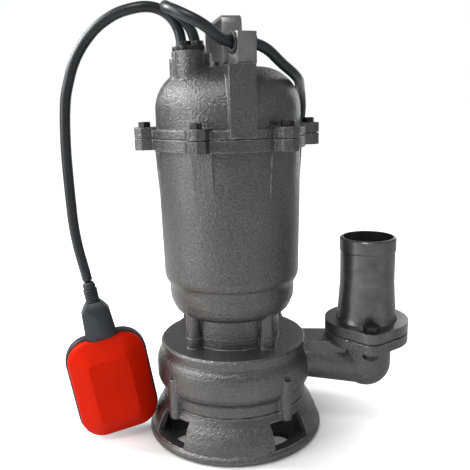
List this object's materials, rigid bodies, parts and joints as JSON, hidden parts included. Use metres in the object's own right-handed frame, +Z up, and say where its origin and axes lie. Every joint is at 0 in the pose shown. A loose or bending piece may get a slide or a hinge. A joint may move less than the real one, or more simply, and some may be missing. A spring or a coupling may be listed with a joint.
{
  "type": "submersible sump pump",
  "caption": "Submersible sewage pump: cast casing on a slotted stand, side elbow with hose tail, strap handle, cable guide and a hanging float switch.",
  "frame": {"origin": "shaft axis at the underside of the base stand", "axes": "+Z up along the shaft, +X towards the discharge elbow, -Y towards the front with the cable guide"},
  "size_m": [0.3191, 0.3371, 0.3928],
  "materials": {
    "iron": "rough sand cast iron under dark grey satin paint",
    "smooth_iron": "machined and painted dark grey cast iron",
    "black_steel": "black oxide steel fasteners",
    "bare_steel": "ground bare steel",
    "zinc": "zinc plated sheet steel",
    "lamination": "stacked electrical steel",
    "cage_alloy": "cast aluminium",
    "copper": "enamelled copper wire, varnished",
    "ceramic_seat": "lapped ceramic",
    "rubber": "black rubber",
    "cable_rubber": "black rubber cable sheath",
    "float_red": "orange red moulded plastic",
    "float_dark": "dark blue grey moulded plastic",
    "inner_plastic": "ivory moulded plastic",
    "can": "drawn can with a grey sleeve",
    "plug_rubber": "black moulded rubber plug"
  },
  "bodies": {
    "pump": {"base_stand": "iron", "base_bolts": "black_steel", "suction_plate": "iron", "volute_casing": "iron", "neck_screws": "black_steel", "seal_housing": "iron", "seal_seat": "ceramic_seat", "lip_seal": "rubber", "motor_casing": "iron", "oil_plug": "black_steel", "lower_bearing_outer": "bare_steel", "upper_bearing_outer": "bare_steel", "stator_core": "lamination", "stator_windings": "copper", "upper_bracket": "iron", "capacitor": "can", "capacitor_clip": "zinc", "thermal_protector": "zinc", "terminal_block": "inner_plastic", "top_cover": "iron", "cover_gasket": "rubber", "cover_bolts": "black_steel", "gland_plate": "black_steel", "gland_screws": "black_steel", "gland_sleeves": "rubber", "handle": "zinc", "handle_screws": "black_steel", "cable_guide": "zinc", "guide_grommets": "rubber", "discharge_gasket": "rubber", "hose_tail": "smooth_iron", "discharge_bolts": "black_steel", "discharge_nuts": "black_steel", "float_cable": "cable_rubber", "power_cord": "cable_rubber", "cord_coil": "cable_rubber", "cord_tail": "cable_rubber", "cord_tie": "rubber", "plug_body": "plug_rubber", "plug_pins": "zinc"},
    "rotor": {"shaft": "bare_steel", "rotor_core": "lamination", "rotor_cage": "cage_alloy", "impeller": "iron", "impeller_key": "bare_steel", "impeller_nut": "black_steel", "cutter": "bare_steel", "seal_head": "bare_steel", "lower_bearing_inner": "bare_steel", "upper_bearing_inner": "bare_steel"},
    "lower_ball_set": {"lower_bearing_balls": "bare_steel"},
    "upper_ball_set": {"upper_bearing_balls": "bare_steel"},
    "float": {"float_front_shell": "float_red", "float_back_shell": "float_dark", "float_boot": "float_dark", "float_ball_cage": "inner_plastic", "float_switch": "inner_plastic"},
    "steel_ball": {"float_ball": "bare_steel"},
    "switch_lever": {"float_lever": "zinc"}
  },
  "joints": [
    {"name": "rotor_spin", "type": "hinge", "parent": "pump", "child": "rotor", "pos_m": [0, 0, 0.15], "axis": [0, 0, 1], "continuous": true},
    {"name": "lower_balls_roll", "type": "hinge", "parent": "pump", "child": "lower_ball_set", "pos_m": [0, 0, 0.154], "axis": [0, 0, 1], "continuous": true},
    {"name": "upper_balls_roll", "type": "hinge", "parent": "pump", "child": "upper_ball_set", "pos_m": [0, 0, 0.27], "axis": [0, 0, 1], "continuous": true},
    {"name": "float_swing", "type": "hinge", "parent": "pump", "child": "float", "pos_m": [-0.12717, -0.03444, 0.15031], "axis": [-0.3584, 0.9336, 0], "range_deg": [0, 75]},
    {"name": "ball_roll", "type": "slide", "parent": "float", "child": "steel_ball", "axis": [-0.146, -0.0561, 0.9877], "range_m": [0, 0.033]},
    {"name": "lever_tip", "type": "hinge", "parent": "float", "child": "switch_lever", "pos_m": [-0.11878, -0.02158, 0.07179], "axis": [-0.9221, -0.354, -0.1564], "range_deg": [0, 8]}
  ],
  "couplings": [
    {"joint": "lower_balls_roll", "follows": "rotor_spin", "ratio": 0.38},
    {"joint": "upper_balls_roll", "follows": "rotor_spin", "ratio": 0.38},
    {"joint": "lever_tip", "follows": "ball_roll", "rad_per_m": 4.2311}
  ]
}
